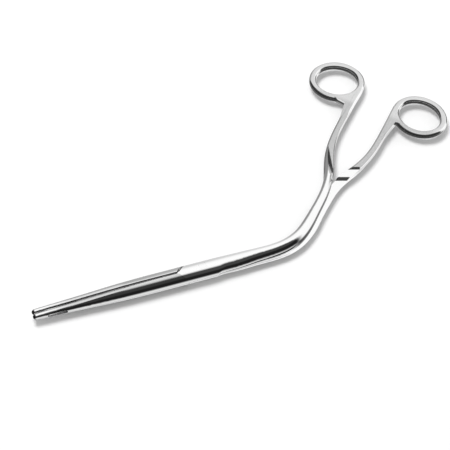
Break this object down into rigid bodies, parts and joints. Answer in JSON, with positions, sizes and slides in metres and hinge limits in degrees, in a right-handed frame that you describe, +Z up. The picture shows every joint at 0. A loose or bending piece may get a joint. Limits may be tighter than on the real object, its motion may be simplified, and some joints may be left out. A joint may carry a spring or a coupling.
{
  "type": "magill forceps",
  "caption": "Steel forceps with slender crossed arms, a sharply angled handle and oval finger rings, turning on a flush screw.",
  "frame": {"origin": "centre of the closed forceps' box, on the table the forceps lies on", "axes": "+X from the jaw tips along the shaft toward the handle, +Z up from the table"},
  "size_m": [0.2416, 0.1152, 0.0094],
  "materials": {
    "steel": "mirror-polished stainless steel"
  },
  "bodies": {
    "upper": {"upper_arm": "steel", "joint_screw": "steel"},
    "lower": {"lower_arm": "steel"}
  },
  "joints": [
    {"name": "jaw_hinge", "type": "hinge", "parent": "upper", "child": "lower", "pos_m": [-0.0336, -0.05288, 0.00472], "axis": [0, 0, -1], "range_deg": [0, 30]}
  ]
}
